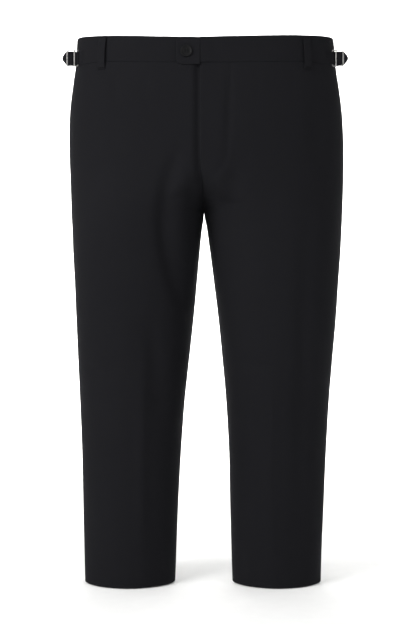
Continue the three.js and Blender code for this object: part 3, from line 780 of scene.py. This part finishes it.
bm = bmesh.new()
rim = [bm.verts.new((r, 0, h)) for r, h in BUTTON_PROFILE]
edges = [bm.edges.new(pair) for pair in zip(rim, rim[1:])]
bmesh.ops.spin(
    bm, geom=rim + edges, axis=(0, 0, 1), cent=(0, 0, 0), angle=math.tau, steps=72, use_merge=True
)
bmesh.ops.remove_doubles(bm, verts=bm.verts[:], dist=0.001)
bmesh.ops.recalc_face_normals(bm, faces=bm.faces[:])
button = finished("waist_button_turned", bm)
bm = bmesh.new()
for x in (-HOLE_AT, HOLE_AT):
    for y in (-HOLE_AT, HOLE_AT):
        bmesh.ops.create_cone(
            bm,
            cap_ends=True,
            segments=20,
            radius1=HOLE_RADIUS,
            radius2=HOLE_RADIUS,
            depth=3 * BUTTON_THICK,
            matrix=Matrix.Translation((x, y, 0)),
        )
drill = finished("button_drill", bm)
cut = button.modifiers.new("four holes", "BOOLEAN")
cut.object = drill
cut.solver = "EXACT"
bpy.context.view_layer.update()
depsgraph = bpy.context.evaluated_depsgraph_get()
drilled = bpy.data.meshes.new_from_object(button.evaluated_get(depsgraph))
button.modifiers.clear()
button.data = drilled
bpy.data.objects.remove(drill)
drilled.transform(button_frame)
for polygon in drilled.polygons:
    polygon.use_smooth = True
soften = button.modifiers.new("turned edges", "EDGE_SPLIT")
soften.split_angle = math.radians(40)

# Dark polyester resin, cast, turned and tumbled: black with faint smoky layers and a soft gloss.
resin, tree = new_material("dark polyester resin, tumbled")
place = add(tree, "ShaderNodeTexCoord").outputs["Object"]
smoke = add(tree, "ShaderNodeTexNoise", Vector=place, Scale=260.0, Detail=4.0, Distortion=1.5)
shade = add(tree, "ShaderNodeValToRGB", Fac=smoke.outputs["Fac"])
shade.color_ramp.elements[0].position = 0.35
shade.color_ramp.elements[0].color = linear("09090a")
shade.color_ramp.elements[1].position = 0.75
shade.color_ramp.elements[1].color = linear("111112")
scuffs = add(tree, "ShaderNodeTexNoise", Vector=place, Scale=2500.0, Detail=2.0)
gloss = add(tree, "ShaderNodeMapRange", Value=scuffs.outputs["Fac"], To_Min=0.45, To_Max=0.62)
shader = add(
    tree,
    "ShaderNodeBsdfPrincipled",
    Base_Color=shade.outputs["Color"],
    Roughness=gloss.outputs[0],
    IOR=1.53,
    Specular_IOR_Level=0.08,
)
add(tree, "ShaderNodeOutputMaterial", Surface=shader.outputs["BSDF"])
button.data.materials.append(resin)
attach(button, "root")
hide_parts("waist_button")


def add_stitch(bm, start, end, out, thickness):
    """One stitch: a short, fat length of thread pulled tight at both ends."""
    along = end - start
    forward = along.normalized()
    side = out.cross(forward).normalized()
    turned = Matrix((forward, side, forward.cross(side))).transposed().to_4x4()
    turned.translation = (start + end) / 2 * MM
    shape = Matrix.Diagonal((along.length / 2 * MM, thickness / 2 * MM, thickness / 2 * MM, 1))
    bmesh.ops.create_icosphere(bm, subdivisions=2, radius=1, matrix=turned @ shape)


def sewn_on(name, bm):
    """Makes some stitches one piece of black thread."""
    for face in bm.faces:
        face.smooth = True
    stitching = finished(name, bm)
    stitching.data.materials.append(thread)
    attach(stitching, "root")
    return stitching


# Black polyester sewing thread, spun and twisted: a little smoother than the cloth, with fine
# slanting lines. The real twist is 0.3 mm long and is drawn 0.6 mm long.
thread, tree = new_material("black sewing thread, spun")
place = add(tree, "ShaderNodeTexCoord").outputs["Object"]
twist = add(
    tree,
    "ShaderNodeTexWave",
    {"wave_type": "BANDS", "bands_direction": "DIAGONAL"},
    Vector=place,
    Scale=WAVE_UNIT / 0.0006,
    Distortion=0.5,
)
shade = add(tree, "ShaderNodeValToRGB", Fac=twist.outputs["Fac"])
shade.color_ramp.elements[0].color = linear("060607")
shade.color_ramp.elements[1].color = linear("111113")
relief = add(tree, "ShaderNodeBump", Strength=0.4, Distance=0.00008, Height=twist.outputs["Fac"])
shader = add(
    tree,
    "ShaderNodeBsdfPrincipled",
    Base_Color=shade.outputs["Color"],
    Roughness=0.7,
    Specular_IOR_Level=0.06,
    Sheen_Weight=0.01,
    Normal=relief.outputs["Normal"],
)
add(tree, "ShaderNodeOutputMaterial", Surface=shader.outputs["BSDF"])

# Two bars of three strands each run over the holes' edges.
STRANDS = (-0.62, 0, 0.62)
STRAND_THICK = 0.75
BAR_REACH, BAR_HEIGHT = 3.3, 1.95
bm = bmesh.new()
for x in (-HOLE_AT, HOLE_AT):
    for strand in STRANDS:
        height = BAR_HEIGHT - 0.2 * abs(strand)
        ends = [Vector((x + strand, y, height)) for y in (-BAR_REACH, BAR_REACH)]
        foot, top = [button_frame @ end / MM for end in ends]
        add_stitch(bm, foot, top, button_out, STRAND_THICK)
sewn_on("button_thread", bm)


# The fly stitching: a row of lockstitch through the left front and the fly facing behind it, down from
# the waist and round to the fly edge below the opening.
FLY_STITCH_LINE = (
    (43.4, -64), (43.4, -106), (41.6, -150), (39.4, -202),
    (35.6, -226), (26, -246), (12, -257), (-2.5, -260),
)
STITCH_LENGTH = 2.3
STITCH_PITCH = 3.0
STITCH_THICK = 0.6
STITCH_PROUD = 0.08
CURVE_STEPS = 12


def on_cloth(face, x, height, proud):
    """A point on the finished cloth of the upper panels, folds and all, and the way out of it."""
    point, out, _ = on_body(face, x, height)
    from_seam = abs(x - centre_seam(face, height))
    return point + out * (proud - slack(face, x, height, from_seam)), out


def smooth_line(corners, pitch):
    """Evenly spaced points along a soft curve through some corners."""
    line = []
    for k in range(len(corners) - 1):
        a, b = Vector(corners[max(k - 1, 0)]), Vector(corners[k])
        c, d = Vector(corners[k + 1]), Vector(corners[min(k + 2, len(corners) - 1)])
        for step in range(CURVE_STEPS):
            t = step / CURVE_STEPS
            bent = (2 * a - 5 * b + 4 * c - d) * t**2 + (3 * b - a - 3 * c + d) * t**3
            line.append(0.5 * (2 * b + (c - a) * t + bent))
    line.append(Vector(corners[-1]))
    return stations(line, [k * pitch for k in range(int(length_of(line) / pitch) + 1)])


bm = bmesh.new()
spots = smooth_line(FLY_STITCH_LINE, STITCH_PITCH)
for spot, following in zip(spots, spots[1:]):
    ends = [spot, spot.lerp(following, STITCH_LENGTH / STITCH_PITCH)]
    (start, out), (end, _) = [on_cloth(FRONT, p.x, p.y, STITCH_PROUD) for p in ends]
    add_stitch(bm, start, end, out, STITCH_THICK)
sewn_on("fly_stitching", bm)


# The belt loops: narrow strips of the same wool, folded so that their edges lie inside, and sewn
# across the waistband with bar tacks at the top and below the waist seam. A belt runs behind them.
LOOP_WIDTH = 12.5
LOOP_THICK = 1.8
LOOP_BELOW_SEAM = 14
LOOP_BELOW_TOP = 1.5
LOOP_ROWS = 44
LOOP_PROFILE = (  # (share of the way down, how far it stands off)
    (0, 1.2), (0.07, 1.5), (0.2, 3.1), (0.5, 3.6), (0.76, 3), (0.92, 0.9), (1, 0.4)
)
TACKS_AT = (0.045, 0.955)
TACK_WIDTH, TACK_THICK, TACK_STITCHES = 9, 0.7, 13
TACK_REACH = 0.018  # as a share of the loop's length
BELT_LOOPS = {  # (face, middle in mm, how far its top leans to the left)
    "front_right": (FRONT, -177, 3.2),
    "front_left": (FRONT, 179, -3),
    "back_right": (BACK, -122, 0.5),
    "back_middle": (BACK, 0, 0),
    "back_left": (BACK, 122, -0.5),
}


def folded_strip(reach, thick):
    """Round a strip folded flat, from the middle of its back: (distance across, distance out)."""
    r = min(thick / 2, reach * 0.9)
    flat = reach - r
    angles = (-1.2, -0.8, -0.4, 0, 0.4, 0.8, 1.2)
    half_round = [(flat + r * math.cos(a), r * math.sin(a)) for a in angles]
    face = [(flat * share, r) for share in (1, 0.85, 0.6, 0.3, 0)]
    back = [(flat * share, -r) for share in (0, 0.35, 0.7, 1)]
    one_side = [*back, *half_round, *face]
    return one_side + [(-x, out) for x, out in reversed(one_side[:-1])]


def lift(down):
    """How far a belt loop stands off the trousers on its way down."""
    for (start, low), (end, high) in zip(LOOP_PROFILE, LOOP_PROFILE[1:]):
        if down <= end:
            return mix(low, high, ease(down, start, end))
    return LOOP_PROFILE[-1][1]


def sew_loop(name, face, middle_x, lean, tacks):
    turn = on_body(face, middle_x, -BAND_HEIGHT / 2)[2]
    top = top_edge(RIGHT if middle_x < 0 else LEFT, face, turn) - LOOP_BELOW_TOP
    bottom = band_bottom(face, turn) - LOOP_BELOW_SEAM

    def on_loop(across, down, proud):
        point, out, _ = on_body(face, middle_x + lean * (1 - down) + across, mix(top, bottom, down))
        return point + out * (lift(down) + proud), out

    grid = []
    for j in range(LOOP_ROWS + 1):
        down = j / LOOP_ROWS
        closing = roll(min(j, LOOP_ROWS - j), 0.8, 2)
        row = []
        for across, out_by in folded_strip(LOOP_WIDTH / 2, LOOP_THICK * (1 - closing)):
            point, out = on_loop(across, down, LOOP_THICK / 2 + out_by)
            row.append((point, across + out_by, down * (top - bottom)))
        grid.append(row)
    loop = lay_cloth("belt_loop_" + name + "_cloth", grid, face > 0)
    in_wool(loop, "belt_loop_" + name)
    for down in TACKS_AT:
        for k in range(TACK_STITCHES):
            across = (k / (TACK_STITCHES - 1) - 0.5) * TACK_WIDTH
            start, out = on_loop(across, down - TACK_REACH, LOOP_THICK + 0.05)
            end, _ = on_loop(across, down + TACK_REACH, LOOP_THICK + 0.05)
            add_stitch(tacks, start, end, out, TACK_THICK)


tacks = bmesh.new()
for name, (face, middle_x, lean) in BELT_LOOPS.items():
    sew_loop(name, face, middle_x, lean, tacks)
sewn_on("belt_loop_bar_tacks", tacks)


# The side adjusters: a pointed strap of folded wool at each side of the waist runs out behind the bars
# of a flat slide buckle, which a short cloth loop holds to the waistband.
ADJUSTER_HEIGHT, ADJUSTER_Y = -40.2, -43
ADJUSTER_IN = {RIGHT: 0, LEFT: 1.6}
STRAP_HEIGHT = 25
STRAP_THICK = 1.6
STRAP_POINT = 8
STRAP_BLUNT = 1.4
STRAP_ROOT = -6
STRAP_PATH = ((-1.5, -39), (4, -40.9), (13, -41.1), (21, -40.6))
ANCHOR_HEIGHT = 23
ANCHOR_THICK = 1
ANCHOR_FLUSH = 0.1
ANCHOR_ON = (-19, -14.5, -11.5)
ANCHOR_BAR = -7
ANCHOR_ROUND, ANCHOR_DEEP = 2.2, 2
BAND_OUT = 0.8
SEWN_CLEAR = 0.3
STRIP_COLUMNS = 40


def along_path(path, height_at, thick):
    """A folded strip that stands on edge along a level path."""
    total = length_of(path)
    points = stations(path, [total * k / STRIP_COLUMNS for k in range(STRIP_COLUMNS + 1)])
    grid = []
    for i, p in enumerate(points):
        ahead = points[min(i + 1, STRIP_COLUMNS)] - points[max(i - 1, 0)]
        out = Vector((ahead.y, -ahead.x, 0)).normalized()
        far = i / STRIP_COLUMNS * total
        reach, closing = height_at(far, total)
        row = []
        for across, out_by in folded_strip(reach, thick * closing):
            row.append((p + out * out_by + Vector((0, 0, across)), across + out_by, far))
        grid.append(row)
    return grid


def strap_height(far, total):
    """Half the strap's height at a distance from its root, and the share of its thickness there."""
    left = total - far
    reach = mix(STRAP_BLUNT, STRAP_HEIGHT / 2, clamp(left / STRAP_POINT, 0, 1) ** 0.75)
    return reach, 1 - roll(left, 0.7, 0.8)


def anchor_height(far, total):
    """The same for the anchor, which starts thin where it is sewn down."""
    return ANCHOR_HEIGHT / 2, mix(0.2, 1, ease(far, 0, 4))


for half in (RIGHT, LEFT):
    side = worn(SIDE_NAME[half] + "_side", ADJUSTER_HEIGHT) - half * ADJUSTER_IN[half]
    point, out, _ = on_body(FRONT, side + half * STRAP_ROOT, ADJUSTER_HEIGHT)
    path = [point + out * (BAND_OUT + STRAP_THICK / 2 + SEWN_CLEAR)]
    path += [Vector((side + half * out_by, y, ADJUSTER_HEIGHT)) for out_by, y in STRAP_PATH]
    node = "adjuster_strap_" + SIDE_NAME[half]
    strap = lay_cloth(node + "_cloth", along_path(path, strap_height, STRAP_THICK), half < 0)
    in_wool(strap, node)

    path = []
    for out_by in ANCHOR_ON:
        point, out, _ = on_body(FRONT, side + half * out_by, ADJUSTER_HEIGHT)
        clear = ANCHOR_FLUSH if out_by == ANCHOR_ON[0] else ANCHOR_THICK / 2 + SEWN_CLEAR
        path.append(point + out * (BAND_OUT + clear))
    for k in range(13):
        angle = math.radians(mix(-120, 80, k / 12))
        out_by = ANCHOR_BAR + ANCHOR_ROUND * math.cos(angle)
        y = ADJUSTER_Y + ANCHOR_DEEP * math.sin(angle)
        path.append(Vector((side + half * out_by, y, ADJUSTER_HEIGHT)))
    node = "adjuster_anchor_" + SIDE_NAME[half]
    anchor = lay_cloth(node + "_cloth", along_path(path, anchor_height, ANCHOR_THICK), half < 0)
    in_wool(anchor, node)


# The buckles: flat slides stamped from brass and nickel plated, with two bars and softly rounded
# edges. The plating is smooth metal, a little hazy from wear, so that it mirrors the lights softly.
nickel, tree = new_material("polished nickel plate")
place = add(tree, "ShaderNodeTexCoord").outputs["Object"]
haze = add(tree, "ShaderNodeTexNoise", Vector=place, Scale=350.0, Detail=3.0)
shine = add(tree, "ShaderNodeMapRange", Value=haze.outputs["Fac"], To_Min=0.22, To_Max=0.36)
polish = add(tree, "ShaderNodeTexNoise", Vector=place, Scale=3000.0, Detail=2.0)
relief = add(tree, "ShaderNodeBump", Strength=0.05, Distance=0.00005, Height=polish.outputs["Fac"])
shade = add(tree, "ShaderNodeValToRGB", Fac=haze.outputs["Fac"])
shade.color_ramp.elements[0].color = linear("70706e")
shade.color_ramp.elements[1].color = linear("8a8988")
shader = add(
    tree,
    "ShaderNodeBsdfPrincipled",
    Base_Color=shade.outputs["Color"],
    Metallic=1.0,
    Roughness=shine.outputs[0],
    Normal=relief.outputs["Normal"],
)
add(tree, "ShaderNodeOutputMaterial", Surface=shader.outputs["BSDF"])

BUCKLE_EDGE = 0.6
SHARP = math.radians(60)
for half in (RIGHT, LEFT):
    bm = bmesh.new()
    bm.from_mesh(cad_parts["adjuster_buckle_" + SIDE_NAME[half]].data)
    bmesh.ops.remove_doubles(bm, verts=bm.verts[:], dist=0.00001)
    bmesh.ops.dissolve_limit(bm, angle_limit=math.radians(1), verts=bm.verts[:], edges=bm.edges[:])
    corners = [e for e in bm.edges if len(e.link_faces) == 2 and e.calc_face_angle() > SHARP]
    bmesh.ops.bevel(
        bm,
        geom=corners,
        offset=BUCKLE_EDGE * MM,
        offset_type="OFFSET",
        affect="EDGES",
        segments=4,
        profile=0.5,
        material=-1,
    )
    bmesh.ops.recalc_face_normals(bm, faces=bm.faces[:])
    for face in bm.faces:
        face.smooth = True
    buckle = finished("adjuster_buckle_" + SIDE_NAME[half] + "_plated", bm)
    buckle.data.materials.append(nickel)
    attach(buckle, "root")
    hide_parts("adjuster_buckle_" + SIDE_NAME[half])


# Pale seamless paper that curves up behind the trousers, which stand on it by their hems.
FLOOR_HEIGHT = HEM_HEIGHT - 1.5
PAPER_REACH = 6000
BEND_FROM, BEND_RADIUS, BEND_STEPS = 2600, 900, 12
PAPER_TOP = 3500
profile = [(-PAPER_REACH, FLOOR_HEIGHT), (BEND_FROM, FLOOR_HEIGHT)]
for k in range(1, BEND_STEPS + 1):
    angle = k / BEND_STEPS * math.pi / 2
    out, up = BEND_RADIUS * math.sin(angle), BEND_RADIUS * (1 - math.cos(angle))
    profile.append((BEND_FROM + out, FLOOR_HEIGHT + up))
profile.append((BEND_FROM + BEND_RADIUS, PAPER_TOP))

bm = bmesh.new()
edge = [bm.verts.new(Vector((-PAPER_REACH, y, height)) * MM) for y, height in profile]
edges = [bm.edges.new(pair) for pair in zip(edge, edge[1:])]
swept = bmesh.ops.extrude_edge_only(bm, edges=edges)["geom"]
moved = [part for part in swept if isinstance(part, bmesh.types.BMVert)]
bmesh.ops.translate(bm, vec=(2 * PAPER_REACH * MM, 0, 0), verts=moved)
for face in bm.faces:
    face.smooth = True
backdrop = finished("paper_backdrop", bm)

# Uncoated white paper, made on a roll: matt, with a slight cloudiness of its fibres.
paper, tree = new_material("matt white seamless paper")
place = add(tree, "ShaderNodeTexCoord").outputs["Object"]
fibre = add(tree, "ShaderNodeTexNoise", Vector=place, Scale=40.0, Detail=2.0)
shade = add(tree, "ShaderNodeValToRGB", Fac=fibre.outputs["Fac"])
shade.color_ramp.elements[0].color = linear("f1f1f0")
shade.color_ramp.elements[1].color = linear("f6f6f5")
shader = add(
    tree,
    "ShaderNodeBsdfPrincipled",
    Base_Color=shade.outputs["Color"],
    Roughness=0.9,
    Specular_IOR_Level=0.1,
)
add(tree, "ShaderNodeOutputMaterial", Surface=shader.outputs["BSDF"])
backdrop.data.materials.append(paper)


# Soft studio light: a white surround, a large soft box in front on the left of the picture, weaker ones
# on the right and above the camera, and three that keep the paper behind the trousers white.
def soft_box(name, place, aim, size, watts, spread=180):
    lamp = bpy.data.lights.new(name, "AREA")
    lamp.shape = "RECTANGLE"
    lamp.size, lamp.size_y = size
    lamp.energy = watts
    lamp.spread = math.radians(spread)
    box = bpy.data.objects.new(name, lamp)
    box.location = place
    box.rotation_euler = (Vector(aim) - Vector(place)).to_track_quat("-Z", "Y").to_euler()
    bpy.context.scene.collection.objects.link(box)


world = bpy.data.worlds.new("white surround")
world.use_nodes = True
world.node_tree.nodes["Background"].inputs["Color"].default_value = (1, 1, 1, 1)
world.node_tree.nodes["Background"].inputs["Strength"].default_value = 0.52
bpy.context.scene.world = world
bpy.context.scene.view_settings.view_transform = "Standard"
soft_box("key_light", (-2.0, -1.7, 0.5), (-0.1, 0, -0.45), (1.5, 2.2), 82)
soft_box("fill_light", (2.0, -1.9, 0.3), (0, 0, -0.5), (1.0, 1.6), 21)
soft_box("front_light", (-0.2, -2.6, 1.1), (0, 0, -0.6), (1.6, 1.0), 14)
soft_box("backdrop_light_right", (-1.5, 1.2, 1.2), (-0.3, 2.5, -0.2), (1.2, 1.2), 50, 122)
soft_box("backdrop_light_left", (1.5, 1.2, 1.2), (0.3, 2.5, -0.2), (1.2, 1.2), 50, 122)
soft_box("wall_light", (0, 2.0, 2.4), (0, 3.5, 0.4), (2.6, 0.6), 100, 122)
